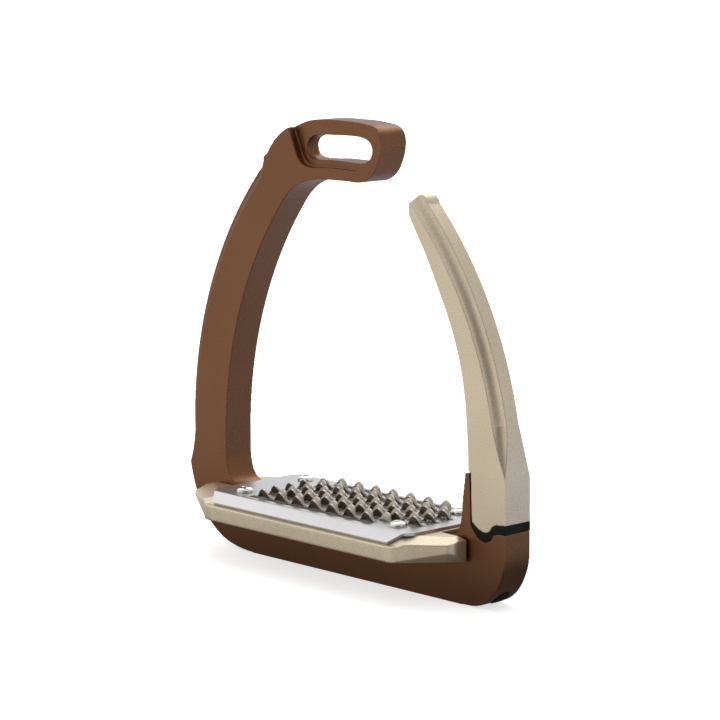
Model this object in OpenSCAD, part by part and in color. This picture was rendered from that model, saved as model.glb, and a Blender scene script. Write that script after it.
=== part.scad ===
// Safety stirrup: a one-sided frame with a hinged release arm and a tread with a toothed grip plate.
// X runs along the tread with the arm on the right (+X), -Y is the front, Z is up.
// The underside of the base is at z = 0.

/* [Sizes] */
// Inside width of the foot opening at tread level
inner_w = 119; // [114:1:122]
// Depth of the frame and arm, front to back
frame_d = 12; // [11:0.5:13]
// Underside of the base to the top face of the grip plate
plate_top = 24.2; // [24.2:0.1:24.6]
// Overall height of the frame head above the underside
head_top = 156.3; // [155:0.1:158]

/* [Tread] */
// Right end of the tread platform, from the middle
plat_x = 63; // [62:0.5:65]
// Left end of the tread platform, from the middle
plat_xl = 65; // [63:0.5:66]
// Half width of the tread platform
plat_y = 26.3; // [25.5:0.1:28]
// Half length of the grip plate
plate_x = 50; // [48:0.5:51]
// Fold line of the grip plate, from the middle
plate_y = 20.8; // [20.4:0.1:21.4]
// Thickness of the grip plate
plate_t = 1; // [0.8:0.1:1.2]
// Grip plate screws, distance along the tread
screw_sx = 76.8; // [74:0.2:78]
// Grip plate screws, distance across the tread
screw_sy = 28.8; // [28:0.2:30]

/* [Teeth] */
// Distance between teeth along a row
tooth_pitch = 8.65; // [8.5:0.05:8.8]
// Width of a tooth at its root
tooth_w = 7.4; // [5:0.1:8]
// Height of a tooth above the plate
tooth_h = 3.5; // [3:0.1:4]

/* [Safety joint] */
// Radius of the hinge pin
pin_r = 1.5; // [1.2:0.1:1.5]
// Running clearance of the hinge pin
pin_clear = 0.05; // [0.03:0.01:0.09]
// Outward travel of the release arm in degrees
open_deg = 15; // [5:1:15]

/* [Hidden] */
$fn = 64;

bronze = "#6b4226";
champagne = "#c9bda6";
steel = "#b9bcc0";
black = "#1a1a1c";

half_d = frame_d/2;
sheet_z = plate_top - plate_t;  // top of the platform, under the plate

// Base beam inside the platform
beam_top = 19;
beam_left = -49.8;
beam_right = 53.6;
platform_screw_x = 24;

// Arcs of the frame and arm; centres are [x, z]
outer_r = 137.5;
left_outer_center = [58.6, 43.5];
right_outer_center = [-58, 35];
left_inner_r = 134.7;
left_inner_center = [inner_w/2 + 17, 41.7];

// Hinge of the release arm, and the link hanging from it.
// Places along the link are distances below the hinge axis.
hinge_x = 70.3;
hinge_z = 29.2;
pin_front = -4.7;
link_lean = 3;
link_r = 1.8;
nut_seat = 12;
bore_end = 34;

// ---------- curves ----------
function arc_point(center, radius, angle) =
    [center.x + radius*cos(angle), center.y + radius*sin(angle)];
// Points of an arc in X and Z, angles measured from +X towards +Z
function arc(center, radius, from, to, steps = 44) =
    [for (i = [0:steps]) arc_point(center, radius, from + (to - from)*i/steps)];
// Catmull-Rom point between start and end, at t from 0 to 1
function spline_point(before, start, end, after, t) =
    0.5*((2*start) + (end - before)*t + (2*before - 5*start + 4*end - after)*t*t
    + (3*start - before - 3*end + after)*t*t*t);
function clamped(points, i) = points[max(0, min(len(points) - 1, i))];
function wrapped(points, i) = points[i % len(points)];
// Open curve through the points, with a number of steps per span
function smooth(points, steps) = let (last = len(points) - 2)
    [for (i = [0:last]) for (j = [0:steps - (i < last ? 1 : 0)])
        spline_point(clamped(points, i - 1), points[i], points[i + 1],
                     clamped(points, i + 2), j/steps)];
// Closed curve through the points
function smooth_loop(points, steps) = let (count = len(points))
    [for (i = [0:count - 1]) for (j = [0:steps - 1])
        spline_point(wrapped(points, i + count - 1), points[i],
                     wrapped(points, i + 1), wrapped(points, i + 2), j/steps)];
function reversed(points) = [for (i = [len(points) - 1:-1:0]) points[i]];
// Puts an [x, z] point at depth y
function at_depth(point, y) = [point.x, y, point.y];

// ---------- shapes ----------
// Slab from an outline in X and Z
module slab(points, front = -half_d, back = half_d) {
    translate([0, back, 0]) rotate([90, 0, 0]) linear_extrude(back - front) polygon(points);
}
// Bar from an outline in Y and Z
module bar(points, left, right) {
    translate([left, 0, 0]) rotate([90, 0, 90]) linear_extrude(right - left) polygon(points);
}
module both_x() {
    children();
    mirror([1, 0, 0]) children();
}
module both_y() {
    children();
    mirror([0, 1, 0]) children();
}
module post(radius, z, height) {
    translate([0, 0, z]) cylinder(r = radius, h = height, $fn = 48);
}
module hex_socket(radius, z) {
    translate([0, 0, z]) cylinder(r = radius, h = 3, $fn = 6);
}
// Cylinder along the hinge axis
module hinge_cyl(radius, front, length) {
    translate([hinge_x, front, hinge_z]) rotate([-90, 0, 0])
        cylinder(r = radius, h = length, $fn = 48);
}
// Cylinder along the leaning axis of the link
module link_cyl(radius, from, to, sides = 48) {
    translate([hinge_x, 0, hinge_z]) rotate([0, 180 - link_lean, 0]) translate([0, 0, from])
        cylinder(r = radius, h = to - from, $fn = sides);
}
module at_platform_screws() {
    for (x = [-1, 1]) translate([x*platform_screw_x, 0, 0]) children();
}
module at_plate_screws() {
    for (x = [-1, 1], y = [-1, 1]) translate([x*screw_sx/2, y*screw_sy/2, 0]) children();
}

// Straight run of a ball-end cutter
module cutter_run(start, end, radius) {
    step = end - start;
    translate(start) rotate([0, acos(step.z/norm(step)), atan2(step.y, step.x)])
        cylinder(r = radius, h = norm(step), $fn = 40);
}
// Ball-end cut along the front of an outer edge, its axis set out in front of the face:
// an arc between two angles, then a straight run out, and a run in if one is given
module cove(center, from, to, run_out, cutter_r, set_out, run_in = []) {
    y = -(half_d + set_out);
    start = at_depth(arc_point(center, outer_r, from), y);
    end = at_depth(arc_point(center, outer_r, to), y);
    translate(at_depth(center, y)) rotate([90, 0, 0]) rotate([0, 0, min(from, to)])
        rotate_extrude(angle = abs(to - from), $fn = 180)
            translate([outer_r, 0]) circle(r = cutter_r, $fn = 40);
    // slightly larger balls and run-in keep the joins from coinciding
    translate(end) sphere(r = cutter_r + 0.03, $fn = 40);
    translate(start) sphere(r = cutter_r + 0.04, $fn = 40);
    if (len(run_in) == 3) cutter_run(start, run_in, cutter_r + 0.01);
    cutter_run(end, run_out, cutter_r);
}

// ---------- safety joint lines, [x, z] ----------
// Inner side of the arm below the fin top, then its foot
arm_foot = concat(
    [[63.75, 44.9], [64.1, 33]],
    smooth([[64.35, 28.6], [66.2, 27.2], [67.8, 26.3], [70.3, 25.7], [72.3, 26.4],
            [73.6, 28.1], [75.3, 29.0]], 4),
    [[79.4, 29.3]]);
// Seat in the frame below the gasket
seat_line = concat(
    [[63.05, 44.4], [63.55, 35]],
    smooth([[63.85, 27.4], [65.8, 24.9], [67.6, 23.3], [70.3, 22.6], [72.8, 23.5],
            [74.3, 25.5], [76, 26.15]], 4),
    [[79.4, 26.3]]);

// ---------- main frame ----------
// Round of the lower right corner, [x, z]
right_corner = smooth([[79.4, 26.2], [79.25, 17.2], [78.2, 12.2], [75.6, 6.9], [71.6, 2.7],
                       [66.6, 0.5], [60, 0]], 7);
frame_profile = concat(
    // right end and underside of the head
    smooth([[15.6, head_top - 0.7], [18.4, head_top - 1.6], [20.3, 153], [21.1, 150.6],
            [21, 147.8], [20.2, 144.6], [17.6, 139.8], [14.2, 137.2], [10.5, 136.1],
            [4.3, 136.1], [-7.2, 135.9], [-15.8, 134.7], [-22.5, 131.8], [-27.3, 127.6]], 6),
    // inner edge of the left side, down to its flare into the base
    arc(left_inner_center, left_inner_r, 141.5, 180),
    smooth([[-58.2, 38.5], [-58, 32], [-56.9, 27.6], [-54.9, 24.9], [-52.5, 23.7],
            [-50.15, 23.35]], 6),
    // top of the base beam
    [[beam_left, 22.6], [beam_left, beam_top], [beam_right, beam_top], [beam_right, 22.3],
     [55.2, 22.5]],
    // inner side of the fin at the right
    smooth([[55.2, 22.5], [57.9, 24.3], [59.4, 28.4], [60.2, 36.5], [61.2, 44.4]], 5),
    seat_line,
    right_corner,
    // round of the lower left corner
    smooth([[-44, 0], [-52, 0.8], [-60.2, 3.2], [-68.1, 8.8], [-73.6, 16.2], [-76.9, 24.5],
            [-78.5, 33], [-78.9, 43.5]], 7),
    arc(left_outer_center, outer_r, 179.8, 134.7),
    // left end and top of the head
    smooth([[-36.9, 142.1], [-35.2, 143.5], [-33.3, 146.1], [-30.2, 149.2], [-25.5, 152.2],
            [-17, 155.2], [-8, head_top - 0.1], [2, head_top], [9, head_top - 0.1]], 6));

leather_slot = smooth_loop([
    [-17.9, 145.8], [-16.6, 148.9], [-12, 150.7], [-4, 151.1], [4, 151.4], [10.6, 151.2],
    [14.7, 149.9], [16.1, 147.5], [15.7, 145.3], [14.1, 143.6], [10.6, 142.5], [2, 142.5],
    [-6, 142.5], [-12.8, 142.1], [-16.9, 143]], 6);
pocket_z = 142.4;  // height the slot outline is enlarged from

// Recess in the front of the head, open at the top
head_recess = concat(
    [[-26.6, head_top + 3], [-24.1, 151.8]],
    smooth([[-22, 147.4], [-19.9, 142.9], [-17.4, 140.4], [-13.4, 139.5]], 6),
    [[-4, 140.05], [2, 140.1], [9, 139.9]],
    smooth([[13.2, 140.9], [15.9, 143.4], [17.1, 146.7]], 5),
    [[19.3, 153.2], [19.6, head_top + 3]]);
recess_y = 3.35;        // floor of the recess, in front of the middle plane
recess_turn = -2.9;
recess_pivot_x = 20;    // pivot of the turn, left of the middle

module main_frame() {
    color(bronze) difference() {
        slab(frame_profile);
        slab(leather_slot, -half_d - 1, half_d + 1);
        // the floor of the recess gets shallower towards the right
        translate([-recess_pivot_x, -recess_y, 0]) rotate([0, 0, recess_turn])
            translate([recess_pivot_x, 0, 0]) slab(head_recess, -8, 0);
        // pocket round the back of the slot
        translate([-2.4, 0, pocket_z]) scale([1.12, 1, 1.2]) translate([0.5, 0, -pocket_z])
            slab(leather_slot, 2, half_d + 1);
        both_y() cove(left_outer_center, 137.2, 181.5,
            run_out = [-82.4, -(half_d + 3.4), 25.5], cutter_r = 4.8, set_out = 1.7,
            run_in = at_depth(arc_point(left_outer_center, outer_r + 3.4, 134.4),
                              -(half_d + 4.2)));
        // bore for the hinge link, then the wider bore for its nut and plug
        link_cyl(1.95, 2, 30);
        link_cyl(3.05, nut_seat, bore_end);
        // tapped holes for the platform screws
        at_platform_screws() post(1.75, 6, beam_top);
    }
}

// ---------- release arm ----------
arm_outer = arc(right_outer_center, outer_r, 4, 44.3);
arm_top = [34.3, 128.6];
arm_profile = concat(
    [arm_top],
    // inner edge, downwards
    smooth([[34.5, 127.2], [37.5, 122.3], [42.6, 114.4], [49.0, 102.6], [52.6, 95.6],
            [56.2, 87.2], [58.9, 78.6], [60.6, 70], [61.6, 61.4], [62.3, 52],
            [62.55, 45.3]], 5),
    arm_foot,
    arm_outer,
    // rounded tip
    smooth([arm_outer[len(arm_outer) - 1], [39.4, 132.7], [37.9, 133.9], [36.3, 133.8],
            [35, 132.5], [34.4, 130.7], arm_top], 5));
eye_slot_r = 3.25;
eye_slot_y = 2.1;

module release_arm() {
    color(champagne) difference() {
        slab(arm_profile);
        both_y() cove(right_outer_center, 48, 11.3,
            run_out = [81.6, -(half_d + 3.2), 44], cutter_r = 3.8, set_out = 0.7);
        // open slot for the link eye and its swing
        slab(concat(arc([hinge_x, hinge_z], eye_slot_r, 0, 180, 24),
                    [[hinge_x - eye_slot_r, 20], [hinge_x + eye_slot_r, 20]]),
             -eye_slot_y, eye_slot_y);
        // pin hole, closed at the front
        hinge_cyl(pin_r, pin_front - 0.1, half_d + 6);
    }
}

// ---------- gasket ----------
gasket_gap = 0.03;

// Fills the joint, with a gap to the arm foot and the seat
module joint_gasket() {
    upper = [for (p = arm_foot) [p.x - (p.x < 64.5 ? gasket_gap : 0), p.y - gasket_gap]];
    lower = [for (p = reversed(seat_line))
        [p.x + (p.x < 64 ? gasket_gap : 0), p.y + gasket_gap]];
    color(black) difference() {
        slab(concat(upper, lower));
        link_cyl(2.1, 0, 12);
    }
}

// ---------- hinge hardware ----------
module hinge_pin() {
    color(steel) hinge_cyl(pin_r, pin_front, 10.2);
}
module hinge_link() {
    color(steel) difference() {
        union() {
            hinge_cyl(2.95, -1.95, 3.9);
            link_cyl(link_r, 1.8, 19.5);
        }
        hinge_cyl(pin_r + pin_clear, -4, 8);
    }
}
module link_washer() {
    color(steel) difference() {
        link_cyl(2.95, nut_seat + 0.02, nut_seat + 0.6);
        link_cyl(1.9, nut_seat - 0.5, nut_seat + 1);
    }
}
module link_nut() {
    color(steel) difference() {
        link_cyl(2.9, nut_seat + 0.62, 20.2);
        link_cyl(link_r, nut_seat, 19.6);
        link_cyl(1.7, 19, 21, 6);
    }
}
module anchor_plug() {
    // follows the round of the corner, and stands a little proud of it
    color(black) intersection() {
        link_cyl(3.0, 20.3, bore_end);
        slab(concat([for (p = right_corner) p + [0.2, -0.2]], [[60, 20], [79.8, 20]]), -5, 5);
    }
}

// ---------- tread platform ----------
corner_x = 45.2;                // where the front edge turns into the corner
right_corner_y = plat_y - 12.3; // where the corner meets the right end
left_corner_y = plat_y - 10.3;  // where the corner meets the left end
corner_turn = 33.25;
// Front half of the outline from left to right, [x, y]
platform_front = concat(
    smooth([[-plat_xl, -left_corner_y + 2.8], [-plat_xl + 0.1, -left_corner_y + 1.2],
            [-plat_xl + 0.8, -left_corner_y - 0.2], [-plat_xl + 2.4, -left_corner_y - 1.3]], 3),
    smooth([[-corner_x - 4, -plat_y + 2.1], [-corner_x - 1.2, -plat_y + 0.5],
            [-corner_x + 2, -plat_y]], 3),
    smooth([[corner_x - 2, -plat_y], [corner_x + 1.2, -plat_y + 0.5],
            [corner_x + 4, -plat_y + 2.3]], 3),
    smooth([[plat_x - 3.2, -right_corner_y - 2.1], [plat_x - 1.2, -right_corner_y - 0.5],
            [plat_x - 0.2, -right_corner_y + 1.4], [plat_x, -right_corner_y + 3.6]], 3));
platform_outline = concat(platform_front, [for (p = reversed(platform_front)) [p.x, -p.y]]);

plat_bot = 14.8;
edge_z = 20;            // front and back edges, below the bevel
corner_z = 21.2;        // corner edges, below the bevel
end_z = 22.3;           // end edges, below the bevel
cut_top = sheet_z + 3;  // top of the bevel cuts
fit_gap = 0.15;
fit_y = half_d + fit_gap;
trough_depth = 2.3;
countersink_depth = 2.3;
// Trough clear of the middle rib and the screw bosses, [x, y]
trough_outline = [[-29, -18.6], [29, -18.6], [31, -16.6], [31, -10.4], [43, -10.4],
                  [44.5, -8.9], [44.5, -4.6], [-33, -4.6], [-33, -10.4], [-31, -10.4],
                  [-31, -16.6]];

// Places a cut at each corner, its X along the slanted corner edge
module at_corners() {
    both_x() both_y() translate([corner_x, -plat_y, 0]) rotate([0, 0, corner_turn]) children();
}
module end_bevel(end_x) {
    translate([end_x, 0, 0])
        slab([[-3.2, sheet_z], [0, end_z], [2, end_z - 0.56], [2, cut_top], [-3.2, cut_top]],
             -40, 40);
}
// Box cut up from below the platform
module bottom_slot(left, right, half_y, height = 20) {
    translate([left, -half_y, plat_bot - 1]) cube([right - left, 2*half_y, height]);
}
module tread_platform() {
    color(champagne) difference() {
        translate([0, 0, plat_bot]) linear_extrude(sheet_z - plat_bot) polygon(platform_outline);
        // bevels: front and back, corners, ends
        both_y() bar([[-plate_y + 0.6, sheet_z], [-plate_y - 3.6, sheet_z - 2.91],
                      [-plat_y, edge_z], [-plat_y - 3, edge_z - 0.5], [-plat_y - 3, cut_top],
                      [-plate_y + 0.6, cut_top]], -90, 90);
        at_corners() bar([[5.6, sheet_z], [0, corner_z], [-4, corner_z - 1.43],
                          [-4, cut_top], [5.6, cut_top]], -20, 45);
        end_bevel(plat_x);
        mirror([1, 0, 0]) end_bevel(plat_xl);
        // lower corner relief, deeper towards the end
        at_corners() translate([3, 0, 0]) rotate([0, 0, 16])
            bar([[0, plat_bot - 0.01], [-7, plat_bot + 6.2], [-14, plat_bot + 6.2],
                 [-14, plat_bot - 4], [0, plat_bot - 4]], 0, 45);
        // channel over the base beam
        bottom_slot(beam_left - fit_gap, beam_right + fit_gap, fit_y,
                    beam_top + 0.05 - plat_bot + 1);
        // forks around the uprights: two steps at the left, one slot at the right
        bottom_slot(-plat_xl - 5, -51.2, fit_y + 0.4);
        bottom_slot(-plat_xl - 5, -49.6, fit_y);
        bottom_slot(50.4, 50.4 + plat_x, fit_y + 0.8);
        // troughs under the slots of the grip plate
        both_y() translate([0, 0, sheet_z - trough_depth])
            linear_extrude(4) polygon(trough_outline);
        at_plate_screws() post(1.5, plat_bot + 2, 20);
        // countersunk holes for the platform screws
        at_platform_screws() {
            post(2.1, plat_bot, 20);
            translate([0, 0, sheet_z - countersink_depth])
                cylinder(r1 = 2.1, r2 = 4.4, h = countersink_depth + 0.01, $fn = 48);
        }
    }
}
module platform_screws() {
    color(steel) at_platform_screws() difference() {
        union() {
            post(1.7, 8, sheet_z - 9);
            translate([0, 0, sheet_z - 2.25]) cylinder(r1 = 2.0, r2 = 4.15, h = 2.15, $fn = 48);
        }
        hex_socket(1.45, sheet_z - 1.6);
    }
}

// ---------- grip plate ----------
flange_run = 4.2;          // sideways run of the folded flange
flange_drop = 3;
flange_x = plate_x - 2.6;  // half length of the fold line
side_y = plate_y - 3;      // half length of the straight ends
plate_bot = sheet_z + 0.02;
tooth_t = 0.7;
row_pitch = 3.53;
front_row_y = -15.9;
// Rows of teeth from front to back: [x of the first tooth, number of teeth]
tooth_rows = [[-26.5, 7], [-21.5, 7], [-28.1, 9], [-23.9, 8], [-28.2, 9],
              [-23.9, 8], [-28.6, 9], [-24, 8], [-26, 7], [-21.3, 7]];
function row_start(row) = tooth_rows[row][0];
function row_end(row) = row_start(row) + tooth_pitch*(tooth_rows[row][1] - 1);
function row_y(row) = front_row_y + row_pitch*row;

module tooth(lean) {
    rotate([lean, 0, 0]) translate([0, tooth_t/2, 0]) rotate([90, 0, 0])
        linear_extrude(tooth_t)
            polygon([[-tooth_w/2, -0.3], [tooth_w/2, -0.3], [tooth_w*0.3, tooth_h*0.42],
                     [0.4, tooth_h], [-0.4, tooth_h], [-tooth_w*0.3, tooth_h*0.42]]);
}
module plate_blank() {
    translate([0, 0, plate_bot]) linear_extrude(plate_top - plate_bot)
        polygon([[-plate_x, -side_y], [-flange_x, -plate_y], [flange_x, -plate_y],
                 [plate_x, -side_y], [plate_x, side_y], [flange_x, plate_y],
                 [-flange_x, plate_y], [-plate_x, side_y]]);
    // folded flanges
    both_y() bar([[-plate_y + 0.6, plate_top], [-plate_y, plate_top],
                  [-plate_y - flange_run, plate_top - flange_drop],
                  [-plate_y - flange_run + 0.55, plate_top - flange_drop - 0.75],
                  [-plate_y + 0.35, plate_bot], [-plate_y + 0.6, plate_bot]],
                 -flange_x, flange_x);
}
module grip_plate() {
    color(steel) {
        difference() {
            union() plate_blank();
            // slanted ends of the flanges
            both_x() both_y() translate([flange_x, -plate_y, sheet_z - 6]) linear_extrude(12)
                polygon([[0, 0], [-4, -flange_run - 0.4], [-4, -flange_run - 4],
                         [6, -flange_run - 4], [6, 0]]);
            at_plate_screws() post(1.65, sheet_z - 2, 6);
            // slots that the teeth are bent out of, each between two rows
            for (row = [1:2:7]) {
                left = min(row_start(row), row_start(row + 1)) - 2.6;
                right = max(row_end(row), row_end(row + 1)) + 2.6;
                translate([left, row_y(row) + tooth_t/2, sheet_z - 1])
                    cube([right - left, row_pitch - tooth_t, 4]);
            }
            // slots outside the first and last rows
            both_y() translate([-30, -18.7, sheet_z - 1]) cube([60, 2.4, 4]);
        }
        // odd rows lean to the front, even rows to the back
        for (row = [0:len(tooth_rows) - 1]) for (k = [0:tooth_rows[row][1] - 1])
            translate([row_start(row) + tooth_pitch*k, row_y(row), plate_top - 0.25])
                tooth(row % 2 == 1 ? 6 : -6);
    }
}

// Half section of the domed screw head, [radius, z]
dome_r = 2.95;
dome_section = concat(
    [[0, 0], [dome_r, 0], [dome_r, 0.35]],
    [for (i = [1:8]) let (t = i*90/8) [dome_r*cos(t*0.72), 0.35 + 1.35*sin(t)]],
    [[0, 1.7]]);
plate_screw_bot = 17.5;

module plate_screws() {
    color(steel) at_plate_screws() difference() {
        union() {
            post(1.45, plate_screw_bot, plate_top - plate_screw_bot + 0.1);
            translate([0, 0, plate_top + 0.02]) rotate_extrude($fn = 64) polygon(dome_section);
        }
        hex_socket(1.15, plate_top + 0.55);
    }
}

main_frame();
tread_platform();
platform_screws();
grip_plate();
plate_screws();
release_arm();
joint_gasket();
hinge_pin();
hinge_link();
link_washer();
link_nut();
anchor_plug();
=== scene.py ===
# A bronze frame with a champagne tread platform and release arm, joined over a rubber gasket.
# A folded steel grip plate lies flat on it: 100 mm along X, 50 mm along Y, centred on the Z
# axis, with bent-up teeth and four button-head screws. The floor is just under Z = 0.
# Piece sizes are in mm and are turned into metres by MM; shader and stage lengths say their unit.
import math
import bpy
import bmesh
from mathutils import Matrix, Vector


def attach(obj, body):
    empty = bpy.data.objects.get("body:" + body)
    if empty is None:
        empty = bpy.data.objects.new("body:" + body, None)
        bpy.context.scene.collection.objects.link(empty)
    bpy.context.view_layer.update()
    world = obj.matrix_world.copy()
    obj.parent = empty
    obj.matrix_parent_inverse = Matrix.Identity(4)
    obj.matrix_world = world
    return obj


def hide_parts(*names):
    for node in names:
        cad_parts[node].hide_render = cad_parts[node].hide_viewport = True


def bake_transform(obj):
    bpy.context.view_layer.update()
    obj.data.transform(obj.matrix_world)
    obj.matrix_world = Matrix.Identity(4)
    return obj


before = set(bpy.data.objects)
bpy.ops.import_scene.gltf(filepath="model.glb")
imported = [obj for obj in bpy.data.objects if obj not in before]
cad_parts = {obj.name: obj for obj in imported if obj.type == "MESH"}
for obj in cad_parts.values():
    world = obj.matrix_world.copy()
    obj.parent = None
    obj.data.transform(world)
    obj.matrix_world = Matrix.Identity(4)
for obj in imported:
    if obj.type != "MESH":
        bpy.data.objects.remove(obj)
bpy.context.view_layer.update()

MM = 0.001
scene = bpy.context.scene

PLATE_TOP = 24.2                # height of the grip plate's flat upper face
SCREW_X, SCREW_Y = 38.4, 14.4   # plate screws, either side of the centre
SIGNS = [(side_x, side_y) for side_x in (-1, 1) for side_y in (-1, 1)]


# ---------------------------------------------------------------- shader helpers
def linear(*srgb):
    """Linear RGBA from sRGB 0-255."""
    channels = [value / 255 for value in srgb]
    return tuple(c / 12.92 if c <= 0.04045 else ((c + 0.055) / 1.055) ** 2.4
                 for c in channels) + (1.0,)


def scaled(colour, factor):
    """The colour times a factor, held at 1, with full alpha."""
    return tuple(min(1.0, c * factor) for c in colour[:3]) + (1,)


def plug(tree, node, inputs):
    """Link the sockets and set the plain values given for a node's inputs."""
    for key, value in inputs.items():
        if isinstance(value, bpy.types.NodeSocket):
            tree.links.new(value, node.inputs[key])
        else:
            node.inputs[key].default_value = value


def add(tree, kind, inputs={}, **settings):
    node = tree.nodes.new("ShaderNode" + kind)
    for key, value in settings.items():
        setattr(node, key, value)
    plug(tree, node, inputs)
    return node


def calc(tree, operation, *values):
    return add(tree, "Math", dict(enumerate(values)), operation=operation).outputs[0]


def noise(tree, vector, scale, detail, roughness):
    return add(tree, "TexNoise", {"Vector": vector, "Scale": scale, "Detail": detail,
                                  "Roughness": roughness}).outputs["Fac"]


def ramp(tree, factor, *stops):
    """Colour ramp through two (position, colour) stops."""
    node = add(tree, "ValToRGB", {"Fac": factor})
    for element, (position, colour) in zip(node.color_ramp.elements, stops):
        element.position = position
        element.color = colour
    return node.outputs["Color"]


def remap(tree, value, source=(0.0, 1.0), target=(0.0, 1.0), curve="SMOOTHSTEP"):
    """Map the source range onto the target range."""
    return add(tree, "MapRange", {
        "Value": value, "From Min": source[0], "From Max": source[1],
        "To Min": target[0], "To Max": target[1]}, interpolation_type=curve).outputs[0]


def vary_roughness(tree, shader, pattern, low, high):
    roughness = remap(tree, pattern, target=(low, high), curve="LINEAR")
    plug(tree, shader, {"Roughness": roughness})


def roughen(tree, shader, height, strength, distance):
    """Bump the surface; distance is in metres."""
    bump = add(tree, "Bump", {"Strength": strength, "Distance": distance, "Height": height})
    plug(tree, shader, {"Normal": bump.outputs["Normal"]})


def object_coords(tree):
    return add(tree, "TexCoord").outputs["Object"]


def start_material(name):
    material = bpy.data.materials.new(name)
    material.use_nodes = True
    tree = material.node_tree
    return material, tree, tree.nodes["Principled BSDF"]


# ---------------------------------------------------------------- materials
def anodised(name, dark, light, rough, metallic, grain=1.0):
    """Bead-blasted aluminium: fine pitted grain, slow tone drift, convex edges painted brighter.
    """
    material, tree, shader = start_material(name)
    coords = object_coords(tree)
    drift = noise(tree, coords, scale=38.0, detail=2.0, roughness=0.5)
    fine = noise(tree, coords, scale=2500.0, detail=2.0, roughness=0.7)
    medium = noise(tree, coords, scale=1300.0, detail=2.0, roughness=0.5)
    drift_share = calc(tree, "MULTIPLY", drift, 0.22)
    tone = calc(tree, "MULTIPLY_ADD", fine, 1.0, drift_share)
    colour = ramp(tree, tone, (0.36, dark), (0.86, light))

    # Pointiness picks out the convex edges, which are painted brighter; the brightening never
    # covers more than 0.22 of the colour
    pointiness = add(tree, "NewGeometry").outputs["Pointiness"]
    edges = ramp(tree, pointiness, (0.56, (0, 0, 0, 1)), (0.68, (1, 1, 1, 1)))
    edge_lift = calc(tree, "MULTIPLY", edges, 0.22)
    # With RGBA data a Mix node's colour sockets are inputs 6 and 7 and output 2
    edge_lifted = add(tree, "Mix", data_type="RGBA")
    plug(tree, edge_lifted, {0: edge_lift, 6: colour, 7: scaled(light, 1.5)})

    vary_roughness(tree, shader, medium, low=rough - 0.05, high=rough + 0.07)
    roughen(tree, shader, calc(tree, "ADD", fine, medium),
            strength=0.3 * grain, distance=0.00005)
    plug(tree, shader, {"Base Color": edge_lifted.outputs[2], "Metallic": metallic,
                        "Coat Roughness": 0.25})
    return material


def brushed(name, colour, rough, axis, contrast=1.0):
    """Stainless steel with short brush marks along one axis and a faint smear of handling."""
    material, tree, shader = start_material(name)
    coords = object_coords(tree)
    along, across = 420, 2600   # noise scale along and across the brush marks
    stretch = tuple(along if letter == axis else across for letter in "xyz")
    mapped = add(tree, "Mapping", {"Scale": stretch, "Vector": coords}).outputs[0]
    marks = noise(tree, mapped, scale=1.0, detail=4.0, roughness=0.65)
    smear = noise(tree, coords, scale=60.0, detail=2.0, roughness=0.5)
    tone = calc(tree, "MULTIPLY_ADD", smear, 0.35, marks)
    tint = ramp(tree, tone, (0.42, scaled(colour, 1 - 0.16 * contrast)),
                (0.95, scaled(colour, 1 + 0.10 * contrast)))
    vary_roughness(tree, shader, marks, low=rough - 0.06, high=rough + 0.1)
    roughen(tree, shader, marks, strength=0.12 * contrast, distance=0.00003)
    plug(tree, shader, {"Base Color": tint, "Metallic": 1.0})
    return material


def rubber(name, colour):
    material, tree, shader = start_material(name)
    grain = noise(tree, object_coords(tree), scale=2200.0, detail=3.0, roughness=0.6)
    tint = ramp(tree, grain, (0.35, scaled(colour, 0.7)), (0.75, scaled(colour, 1.5)))
    vary_roughness(tree, shader, grain, low=0.5, high=0.72)
    roughen(tree, shader, grain, strength=0.25, distance=0.00005)
    plug(tree, shader, {"Base Color": tint, "Specular IOR Level": 0.2})
    return material


def shade_teeth(material):
    """Painted shade in the corners: darker where the surface looks down, and towards the root."""
    tree = material.node_tree
    shader = tree.nodes["Principled BSDF"]
    unshaded_colour = shader.inputs["Base Color"].links[0].from_socket
    normal = add(tree, "SeparateXYZ", {0: add(tree, "NewGeometry").outputs["Normal"]})
    place = add(tree, "SeparateXYZ", {0: object_coords(tree)})
    # Painted shade: faces that look down are darkened, and so is the part near the root, where
    # the slots lie in shadow
    facing = remap(tree, normal.outputs["Z"], source=(-0.45, 0.35), target=(0.36, 1.0))
    root_shade_heights = (PLATE_TOP * MM, (PLATE_TOP + 2.4) * MM)
    height = remap(tree, place.outputs["Z"], source=root_shade_heights, target=(0.5, 1.0))
    brightness = calc(tree, "MULTIPLY", facing, height)
    painted_shade_colour = add(tree, "VectorMath", {0: unshaded_colour, "Scale": brightness}, operation="SCALE")
    plug(tree, shader, {"Base Color": painted_shade_colour.outputs[0]})


BRONZE = anodised("bronze_anodised", dark=linear(112, 76, 51), light=linear(143, 101, 72),
                  rough=0.38, metallic=0.92)
CHAMPAGNE = anodised("champagne_anodised", dark=linear(202, 188, 163),
                     light=linear(240, 227, 202), rough=0.38, metallic=0.90, grain=1.6)
PLATE_STEEL = brushed("grip_sheet_steel", colour=(0.68, 0.68, 0.695), rough=0.33,
                      axis="x", contrast=0.6)
# The teeth are the same sheet as the plate; their darker, browner colour than the plate's is
# painted shade
SHADED_TOOTH_STEEL = brushed("grip_tooth_steel", colour=(0.56, 0.51, 0.46), rough=0.36,
                      axis="z", contrast=1.2)
shade_teeth(SHADED_TOOTH_STEEL)
SCREW_STEEL = brushed("polished_screw_steel", colour=(0.84, 0.83, 0.81), rough=0.14,
                      axis="z", contrast=0.5)
JOINT_STEEL = brushed("turned_joint_steel", colour=(0.56, 0.56, 0.57), rough=0.30, axis="z")
RUBBER = rubber("black_rubber", colour=(0.006, 0.006, 0.0065))


# ---------------------------------------------------------------- object helpers
def link(item):
    scene.collection.objects.link(item)
    return item


def smooth_faces(item):
    for face in item.data.polygons:
        face.use_smooth = True


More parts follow.
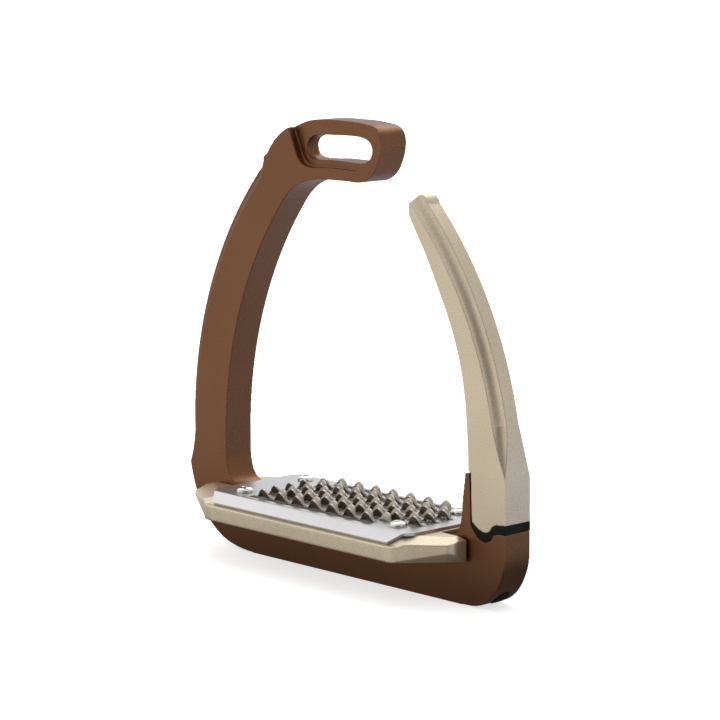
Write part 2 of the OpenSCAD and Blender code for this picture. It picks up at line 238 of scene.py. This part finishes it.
def evaluated_mesh(item):
    """A new mesh with the object's modifiers applied."""
    bpy.context.view_layer.update()
    graph = bpy.context.evaluated_depsgraph_get()
    return bpy.data.meshes.new_from_object(item.evaluated_get(graph))


def set_material(item, material):
    item.data.materials.clear()
    item.data.materials.append(material)


def from_bmesh(bm, name, material=None):
    mesh = bpy.data.meshes.new(name)
    bmesh.ops.recalc_face_normals(bm, faces=bm.faces)
    bm.to_mesh(mesh)
    bm.free()
    item = link(bpy.data.objects.new(name, mesh))
    if material:
        mesh.materials.append(material)
    return item


def bevel_edges(item, width):
    bevel = item.modifiers.new("e", "BEVEL")
    bevel.width = width * MM
    bevel.segments = 2
    bevel.limit_method = "ANGLE"
    bevel.angle_limit = math.radians(50)
    return bevel


def register(item, carrier, replaced):
    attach(item, carrier)
    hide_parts(replaced)


# ---------------------------------------------------------------- softened CAD pieces
def softened(node, name, material, voxel, rounds, keep=1.0):
    """A finer copy of a CAD node with its machined edges broken by a small radius.

    voxel is the remesh size, rounds the smoothing passes, keep the share of faces left.
    """
    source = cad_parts[node]
    welded = source.data.copy()
    bm = bmesh.new()
    bm.from_mesh(welded)
    bmesh.ops.remove_doubles(bm, verts=bm.verts, dist=0.002 * MM)
    bm.to_mesh(welded)
    bm.free()
    item = link(bpy.data.objects.new(name, welded))
    item.matrix_world = source.matrix_world.copy()

    remesh = item.modifiers.new("remesh", "REMESH")
    remesh.mode = "VOXEL"
    remesh.voxel_size = voxel * MM
    remesh.use_smooth_shade = True
    smooth = item.modifiers.new("smooth", "SMOOTH")
    smooth.factor = 0.5
    smooth.iterations = rounds
    if keep < 1.0:
        item.modifiers.new("thin", "DECIMATE").ratio = keep
    result = evaluated_mesh(item)
    item.modifiers.clear()
    item.data = result
    bpy.data.meshes.remove(welded)

    set_material(item, material)
    smooth_faces(item)
    for face in item.data.polygons:
        face.material_index = 0
    return item


main_frame = softened("main_frame", "frame_body", BRONZE, voxel=0.24, rounds=2, keep=0.4)
register(main_frame, "frame", "main_frame")
arm = softened("release_arm", "arm_blade", CHAMPAGNE, voxel=0.21, rounds=2)
register(arm, "arm", "release_arm")
tread = softened("tread_platform", "tread_body", CHAMPAGNE, voxel=0.28, rounds=4, keep=0.5)
register(tread, "frame", "tread_platform")

# The gasket sits between the frame and the arm; it is baked in place and joined to neither body
gasket = softened("joint_gasket", "joint_pad", RUBBER, voxel=0.16, rounds=2)
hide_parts("joint_gasket")
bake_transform(gasket)

# ---------------------------------------------------------------- grip plate: folded sheet
PLATE_THICK = 0.96
FOLD_Y = 20.8                   # where the flat would meet the sloping lip
LIP_RUN, LIP_DROP = 4.2, 3.0    # lip along Y and down
FOLD_RADIUS = 1.5
FOLD_STEPS = 6
LIP_FRACTIONS = (0, 0.02, 0.2, 0.4, 0.6, 0.8, 1.0)
FLAT_Y, FLAT_STEP = 19.2, 0.7   # first station on the flat, and their spacing
COLUMNS = 100                   # divisions along X

# Half length along X, narrowing from the middle to the lip's edge
HALF_LENGTH = 50.05
SIDE_BOW = 0.6                  # lost between the middle and CORNER_Y
CORNER_Y = 17.4
CORNER_LOSS = 2.0               # lost between CORNER_Y and the fold
LIP_TAPER = 3.7                 # lost across the lip

# Tooth rows from -Y to +Y: X of the first tooth, number of teeth
ROW_TABLE = [
    (-26.5, 7), (-21.5, 7), (-28.1, 9), (-23.9, 8), (-28.2, 9),
    (-23.9, 8), (-28.6, 9), (-24.0, 8), (-26.0, 7), (-21.3, 7),
]
FIRST_ROW_Y, ROW_STEP = -15.9, 3.53
TOOTH_PITCH = 8.65
# Each row as its Y and the X of its first and last tooth
ROWS = [(FIRST_ROW_Y + ROW_STEP * i, first, first + TOOTH_PITCH * (count - 1))
        for i, (first, count) in enumerate(ROW_TABLE)]

SLOT_GAP = 0.35                 # from a row's line to the edge of its slot
OUTER_SLOT_Y = 18.7
HOLE_RADIUS = 1.65


def sheet_profile():
    """Upper line of the sheet from the -Y edge to the +Y edge: y, z, normal y, normal z."""
    slope = math.atan2(LIP_DROP, LIP_RUN)
    tangent = FOLD_RADIUS * math.tan(slope / 2)
    half = []
    for fraction in LIP_FRACTIONS:
        y = -FOLD_Y - LIP_RUN + (LIP_RUN - tangent * math.cos(slope)) * fraction
        z = PLATE_TOP - LIP_DROP + (LIP_DROP - tangent * math.sin(slope)) * fraction
        half.append((y, z, -math.sin(slope), math.cos(slope)))
    centre_y, centre_z = -FOLD_Y + tangent, PLATE_TOP - FOLD_RADIUS
    for i in range(1, FOLD_STEPS + 1):
        angle = slope * (1 - i / FOLD_STEPS)
        normal_y, normal_z = -math.sin(angle), math.cos(angle)
        half.append((centre_y + FOLD_RADIUS * normal_y, centre_z + FOLD_RADIUS * normal_z,
                     normal_y, normal_z))
    for i in range(int(FLAT_Y / FLAT_STEP) + 1):
        half.append((-FLAT_Y + FLAT_STEP * i, PLATE_TOP, 0, 1))
    return half + [(-y, z, -normal_y, normal_z) for y, z, normal_y, normal_z in reversed(half)]


def half_length(y):
    y = abs(y)
    if y <= CORNER_Y:
        return HALF_LENGTH - SIDE_BOW * (y / CORNER_Y) ** 2
    at_corner = HALF_LENGTH - SIDE_BOW
    if y <= FOLD_Y:
        return at_corner - CORNER_LOSS * ((y - CORNER_Y) / (FOLD_Y - CORNER_Y)) ** 1.6
    return at_corner - CORNER_LOSS - LIP_TAPER * (y - FOLD_Y) / LIP_RUN


def build_sheet():
    bm = bmesh.new()
    layers = []
    for offset in (0.0, -PLATE_THICK):
        layer = []
        for y, z, normal_y, normal_z in sheet_profile():
            reach = half_length(y)
            layer.append([bm.verts.new(((-1 + 2 * i / COLUMNS) * reach * MM,
                                        (y + offset * normal_y) * MM,
                                        (z + offset * normal_z) * MM))
                          for i in range(COLUMNS + 1)])
        layers.append(layer)
    top, under = layers
    last = len(top) - 1
    for j in range(last):
        for i in range(COLUMNS):
            bm.faces.new([top[j][i], top[j][i + 1], top[j + 1][i + 1], top[j + 1][i]])
            bm.faces.new([under[j][i], under[j + 1][i], under[j + 1][i + 1], under[j][i + 1]])
    for i in range(COLUMNS):
        bm.faces.new([top[0][i], under[0][i], under[0][i + 1], top[0][i + 1]])
        bm.faces.new([top[last][i], top[last][i + 1], under[last][i + 1], under[last][i]])
    for j in range(last):
        bm.faces.new([top[j][0], top[j + 1][0], under[j + 1][0], under[j][0]])
        bm.faces.new([top[j][-1], under[j][-1], under[j + 1][-1], top[j + 1][-1]])
    return from_bmesh(bm, "grip_sheet", PLATE_STEEL)


def arc(x, y, radius, start, step, count):
    """Points round a centre, with the start and step in degrees."""
    angles = [math.radians(start + step * k) for k in range(count)]
    return [(x + radius * math.cos(angle), y + radius * math.sin(angle)) for angle in angles]


def add_prism(bm, outline):
    """Upright prism that passes right through the flat of the sheet."""
    lower, upper = [[bm.verts.new((x * MM, y * MM, (PLATE_TOP + offset) * MM))
                     for x, y in outline] for offset in (-3, 2)]
    bm.faces.new(lower[::-1])
    bm.faces.new(upper)
    for i in range(len(outline)):
        after = (i + 1) % len(outline)
        bm.faces.new([lower[i], lower[after], upper[after], upper[i]])


def add_bar(bm, x0, x1, y0, y1, radius):
    """Rounded rectangle cutter."""
    corners = ((x1 - radius, y0 + radius, -90), (x1 - radius, y1 - radius, 0),
               (x0 + radius, y1 - radius, 90), (x0 + radius, y0 + radius, 180))
    outline = []
    for x, y, start in corners:
        outline += arc(x, y, radius, start, step=22.5, count=5)
    add_prism(bm, outline)


def build_cutter():
    """The slots that the teeth stand over, and the screw holes."""
    bm = bmesh.new()
    for (y0, first0, last0), (y1, first1, last1) in zip(ROWS[1:8:2], ROWS[2:9:2]):
        add_bar(bm, min(first0, first1) - 2.6, max(last0, last1) + 2.6,
                y0 + SLOT_GAP, y1 - SLOT_GAP, radius=1.3)
    y, first, last = ROWS[0]
    add_bar(bm, first - 5.5, last + 4.0, -OUTER_SLOT_Y, y - SLOT_GAP, radius=0.8)
    y, first, last = ROWS[9]
    add_bar(bm, first - 4.0, last + 4.0, y + SLOT_GAP, OUTER_SLOT_Y, radius=0.8)
    for side_x, side_y in SIGNS:
        add_prism(bm, arc(side_x * SCREW_X, side_y * SCREW_Y, HOLE_RADIUS,
                          start=0, step=11.25, count=32))
    return from_bmesh(bm, "slot_cutter")


sheet = build_sheet()
cutter = build_cutter()
cut = sheet.modifiers.new("cut", "BOOLEAN")
cut.operation = "DIFFERENCE"
cut.solver = "EXACT"
cut.object = cutter
slotted = evaluated_mesh(sheet)
sheet.modifiers.clear()
sheet.data = slotted
bpy.data.objects.remove(cutter)
set_material(sheet, PLATE_STEEL)
bevel_edges(sheet, width=0.09).harden_normals = True
smooth_faces(sheet)
register(sheet, "frame", "grip_plate")

# ---------------------------------------------------------------- grip plate: teeth
TOOTH_ROWS, TOOTH_COLUMNS = 16, 8
TOOTH_THICK = 0.82
THINNING = 0.25                 # share of the thickness lost by the tip
BEND_RADIUS, BEND_ANGLE = 1.15, math.radians(74)
CLAW = 0.02                     # radians of further curl per mm past the bend
TAPER_START = 0.26              # share of the tooth's path before it narrows
HOLLOW = 0.16                   # how far the flanks are cut in
TIP_HALF_WIDTH = 0.62
BULGE = 0.8                     # cross curvature of the tongue
ROOT_SINK = 0.45                # root below the plate's top
ROOT_BACK = 1.0                 # root behind the row's line

# Small teeth near the plate's ends: x, y
SMALL_TEETH = [(34.6, -8.9), (42.9, -4.6), (42.9, 2.4), (-33.0, -5.3), (-33.0, 1.8), (-33.2, 8.4)]


def tooth_stations(height, width, cut):
    """Middle line of a tooth from root to tip: y, z, angle of rise, half width."""
    stations = []
    for k in range(TOOTH_ROWS + 1):
        along = k / TOOTH_ROWS * cut
        path = along * (height + 1.1)
        if path < BEND_RADIUS * BEND_ANGLE:
            angle = path / BEND_RADIUS
            y = BEND_RADIUS * math.sin(angle)
            z = BEND_RADIUS * (1 - math.cos(angle))
        else:
            beyond = path - BEND_RADIUS * BEND_ANGLE
            angle = BEND_ANGLE + CLAW * beyond
            mean = (BEND_ANGLE + angle) / 2
            y = BEND_RADIUS * math.sin(BEND_ANGLE) + beyond * math.cos(mean)
            z = BEND_RADIUS * (1 - math.cos(BEND_ANGLE)) + beyond * math.sin(mean)
        taper = max(0.0, min(1.0, (along - TAPER_START) / (1 - TAPER_START)))
        hollow = 1 - HOLLOW * math.sin(math.pi * min(1.0, taper * 1.6))
        tip = TIP_HALF_WIDTH * taper * math.sqrt(max(0.0, 1 - taper ** 6))
        stations.append((y, z, angle, width / 2 * (1 - taper) * hollow + tip))
    return stations


def add_tooth(bm, x, y, lean, height, width, cut=1.0):
    """A tongue of sheet bent up from the slot's edge and cut to a point with hollow flanks.

    lean is +1 for a tongue that stands over the side towards +Y, -1 towards -Y.
    cut below 1 stops it short of the point.
    """
    stations = tooth_stations(height, width, cut)
    layers = []
    for side in (0.5, -0.5):
        layer = []
        for k, (path_y, path_z, angle, half_width) in enumerate(stations):
            offset = side * TOOTH_THICK * (1 - THINNING * (k / TOOTH_ROWS))
            line = []
            for i in range(TOOTH_COLUMNS + 1):
                across = -1 + 2 * i / TOOTH_COLUMNS
                bulge = (BULGE * (1 - across * across) * min(1.0, path_z / 1.2)
                         * (half_width / (width / 2) + 0.1))
                local_y = path_y - math.sin(angle) * offset - bulge
                local_z = path_z + math.cos(angle) * offset - ROOT_SINK
                line.append(bm.verts.new(((x + across * half_width) * MM,
                                          (y + lean * (local_y - ROOT_BACK)) * MM,
                                          (PLATE_TOP + local_z) * MM)))
            layer.append(line)
        layers.append(layer)
    a, b = layers
    for k in range(TOOTH_ROWS):
        for i in range(TOOTH_COLUMNS):
            bm.faces.new([a[k][i], a[k][i + 1], a[k + 1][i + 1], a[k + 1][i]])
            bm.faces.new([b[k][i], b[k + 1][i], b[k + 1][i + 1], b[k][i + 1]])
        bm.faces.new([a[k][0], a[k + 1][0], b[k + 1][0], b[k][0]])
        bm.faces.new([a[k][-1], b[k][-1], b[k + 1][-1], a[k + 1][-1]])
    for i in range(TOOTH_COLUMNS):
        bm.faces.new([a[0][i], b[0][i], b[0][i + 1], a[0][i + 1]])
        bm.faces.new([a[-1][i], a[-1][i + 1], b[-1][i + 1], b[-1][i]])


def build_teeth():
    bm = bmesh.new()
    for row, (first, count) in enumerate(ROW_TABLE):
        y = ROWS[row][0]
        for k in range(count):
            x = first + TOOTH_PITCH * k
            if abs(x) > 32.5 and abs(y) > 9.5:
                continue        # leaves room for the screws
            add_tooth(bm, x, y, lean=-1 if row % 2 == 0 else 1, height=3.2, width=7.6)
    for x, y in SMALL_TEETH:
        add_tooth(bm, x, y, lean=1, height=2.0, width=2.6, cut=0.8)
    return from_bmesh(bm, "grip_teeth", SHADED_TOOTH_STEEL)


teeth = build_teeth()
bevel_edges(teeth, width=0.06)
smooth_faces(teeth)
register(teeth, "frame", "grip_plate")

# ---------------------------------------------------------------- button-head screws
SCREW_SEGMENTS = 72
HEAD_RADIUS, RIM_HEIGHT, DOME_HEIGHT = 3.04, 0.42, 1.36
DOME_ANGLE, DOME_STEPS = math.radians(62), 8


def screw_profile():
    """Radius, height above the plate, and whether the ring is hexagonal."""
    profile = [(1.45, -6.5, False), (1.45, 0.0, False), (2.75, 0.02, False),
               (2.98, 0.06, False), (HEAD_RADIUS, 0.2, False),
               (HEAD_RADIUS, RIM_HEIGHT, False)]
    for i in range(1, DOME_STEPS + 1):
        angle = i / DOME_STEPS * DOME_ANGLE
        rise = DOME_HEIGHT * math.sin(angle) / math.sin(DOME_ANGLE)
        profile.append((HEAD_RADIUS * math.cos(angle * 0.98), RIM_HEIGHT + rise, False))
    return profile + [(1.32, 1.79, True), (1.17, 1.70, True), (1.12, 1.5, True),
                      (1.12, 0.6, True), (1.0, 0.5, True)]


def hex_radius(angle, corner_radius):
    within = angle % (math.pi / 3) - math.pi / 6
    return corner_radius * math.cos(math.pi / 6) / math.cos(within)


def add_screw(bm, centre_x, centre_y, turn):
    rings = []
    for radius, z, is_hex in screw_profile():
        ring = []
        for k in range(SCREW_SEGMENTS):
            angle = 2 * math.pi * k / SCREW_SEGMENTS
            reach = hex_radius(angle - turn, radius) if is_hex else radius
            ring.append(bm.verts.new(((centre_x + reach * math.cos(angle)) * MM,
                                      (centre_y + reach * math.sin(angle)) * MM,
                                      (PLATE_TOP + z) * MM)))
        rings.append(ring)
    for lower, upper in zip(rings, rings[1:]):
        for k in range(SCREW_SEGMENTS):
            after = (k + 1) % SCREW_SEGMENTS
            bm.faces.new([lower[k], lower[after], upper[after], upper[k]])
    bm.faces.new(rings[0][::-1])
    bm.faces.new(rings[-1])


screws_bm = bmesh.new()
for side_x, side_y in SIGNS:
    # Each socket is turned by its own angle
    add_screw(screws_bm, side_x * SCREW_X, side_y * SCREW_Y,
              turn=math.radians(17 * side_x + 9 * side_y))
screws = from_bmesh(screws_bm, "plate_button_screws", SCREW_STEEL)
smooth_faces(screws)
screws.data.set_sharp_from_angle(angle=math.radians(42))
register(screws, "frame", "plate_screws")

# ---------------------------------------------------------------- hardware kept as CAD
HARDWARE = {name: JOINT_STEEL for name in (
    "platform_screws", "hinge_pin", "hinge_link", "link_washer", "link_nut")}
HARDWARE["anchor_plug"] = RUBBER
for name, material in HARDWARE.items():
    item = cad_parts[name]
    if not item.material_slots:
        item.data.materials.append(material)
    for slot in item.material_slots:
        slot.material = material

# ---------------------------------------------------------------- floor (metres)
FLOOR_HALF, FLOOR_Z = 40, -0.0002


def floor_material():
    """Pale floor to the camera; a dimmer glow, darkest under the piece, to all other rays."""
    material, tree, shader = start_material("floor_pale")
    position = add(tree, "NewGeometry").outputs["Position"]
    distance = add(tree, "VectorMath", {0: position}, operation="LENGTH").outputs["Value"]
    mottle = add(tree, "TexNoise", {"Scale": 40.0}).outputs["Fac"]
    pale = ramp(tree, mottle, (0.3, (0.70, 0.70, 0.70, 1)), (0.7, (0.72, 0.72, 0.72, 1)))
    plug(tree, shader, {"Base Color": pale, "Roughness": 0.95, "Specular IOR Level": 0.0})
    whiteness = remap(tree, distance, source=(0.09, 0.20), target=(0.68, 1.05))
    white = add(tree, "Emission", {"Color": (1, 1, 1, 1), "Strength": whiteness})
    seen = add(tree, "AddShader", {0: shader.outputs[0], 1: white.outputs[0]})

    # Distance outside a line 0.12 m long in X, measured along the axes
    place = add(tree, "SeparateXYZ", {0: position})
    off_y = calc(tree, "ABSOLUTE", place.outputs["Y"])
    off_x = calc(tree, "ABSOLUTE", place.outputs["X"])
    away = calc(tree, "MAXIMUM", off_y, calc(tree, "SUBTRACT", off_x, 0.06))
    glow = remap(tree, away, source=(0.035, 0.098), target=(0.15, 0.82))
    # Warm towards -Y, cool towards +Y
    cool = remap(tree, place.outputs["Y"], source=(-0.02, 0.05))
    tint = ramp(tree, cool, (0.0, (1.0, 0.96, 0.92, 1)), (1.0, (0.68, 0.75, 0.92, 1)))
    dim = add(tree, "Emission", {"Color": tint, "Strength": glow})
    to_camera = add(tree, "LightPath").outputs["Is Camera Ray"]
    surface = add(tree, "MixShader", {0: to_camera, 1: dim.outputs[0], 2: seen.outputs[0]})
    plug(tree, tree.nodes["Material Output"], {"Surface": surface.outputs[0]})
    return material


floor_mesh = bpy.data.meshes.new("floor")
floor_mesh.from_pydata([(x * FLOOR_HALF, y * FLOOR_HALF, FLOOR_Z)
                        for x, y in ((-1, -1), (1, -1), (1, 1), (-1, 1))], [], [(0, 1, 2, 3)])
floor = link(bpy.data.objects.new("floor", floor_mesh))
floor_mesh.materials.append(floor_material())


# ---------------------------------------------------------------- world
def direction(azimuth, elevation):
    """Unit vector; azimuth in degrees from -Y towards +X, elevation up from the floor."""
    a, e = math.radians(azimuth), math.radians(elevation)
    return (math.sin(a) * math.cos(e), -math.cos(a) * math.cos(e), math.sin(e))


# Azimuth, elevation, half width in degrees, and strength of each soft patch of light
PATCHES = [(-95, 44, 34, 0.42), (-157, 40, 24, 1.5), (-70, 70, 30, 0.25), (142, 22, 36, -0.12)]
AMBIENT = 0.72


def lobe(tree, coords, azimuth, elevation, half_width, gain, soft=0.5):
    """Smooth patch round one direction; soft is the share of its width that fades."""
    closeness = add(tree, "VectorMath", {0: coords, 1: direction(azimuth, elevation)},
                    operation="DOT_PRODUCT").outputs["Value"]
    fade = (math.cos(math.radians(half_width)),
            math.cos(math.radians(half_width * (1 - soft))))
    return remap(tree, closeness, source=fade, target=(0.0, gain))


def build_world():
    """Soft studio light for the piece, plain white for the camera."""
    world = bpy.data.worlds.new("studio")
    scene.world = world
    world.use_nodes = True
    tree = world.node_tree
    studio = tree.nodes["Background"]
    coords = add(tree, "TexCoord").outputs["Generated"]
    ambient = add(tree, "Value")
    ambient.outputs[0].default_value = AMBIENT
    total = ambient.outputs[0]
    for azimuth, elevation, half_width, gain in PATCHES:
        patch = lobe(tree, coords, azimuth, elevation, half_width, gain)
        total = calc(tree, "ADD", total, patch)
    # The side the camera stands on is darkened
    shade = lobe(tree, coords, azimuth=46, elevation=8, half_width=56, gain=0.88, soft=0.85)
    strength = calc(tree, "MULTIPLY", total, calc(tree, "SUBTRACT", 1.0, shade))
    plug(tree, studio, {"Color": (1, 0.99, 0.98, 1), "Strength": strength})
    plain = add(tree, "Background", {"Color": (1, 1, 1, 1)})
    to_camera = add(tree, "LightPath").outputs["Is Camera Ray"]
    surface = add(tree, "MixShader", {0: to_camera, 1: studio.outputs[0], 2: plain.outputs[0]})
    plug(tree, tree.nodes["World Output"], {"Surface": surface.outputs[0]})


build_world()

# ---------------------------------------------------------------- light and camera
TARGET = Vector((4.95, 0, 74.6)) * MM


def aim(item, azimuth, elevation, distance):
    """Stand the object off the target, in metres, and face it."""
    away = Vector(direction(azimuth, elevation))
    item.rotation_mode = "QUATERNION"
    item.location = TARGET + away * distance
    item.rotation_quaternion = away.to_track_quat("Z", "Y")


top_light = bpy.data.lights.new("soft_top", "AREA")
top_light.energy = 0.9
top_light.shape = "RECTANGLE"
top_light.size = top_light.size_y = 0.7
aim(link(bpy.data.objects.new("soft_top", top_light)), azimuth=-120, elevation=66, distance=1.2)

lens = bpy.data.cameras.new("photo_camera")
lens.sensor_width = 36
lens.lens = 146.5
lens.clip_start = 0.01
lens.clip_end = 20
camera = link(bpy.data.objects.new("photo_camera", lens))
aim(camera, azimuth=46.4, elevation=9.3, distance=1.0)
scene.camera = camera
scene.view_settings.view_transform = "Standard"
scene.view_settings.look = "None"
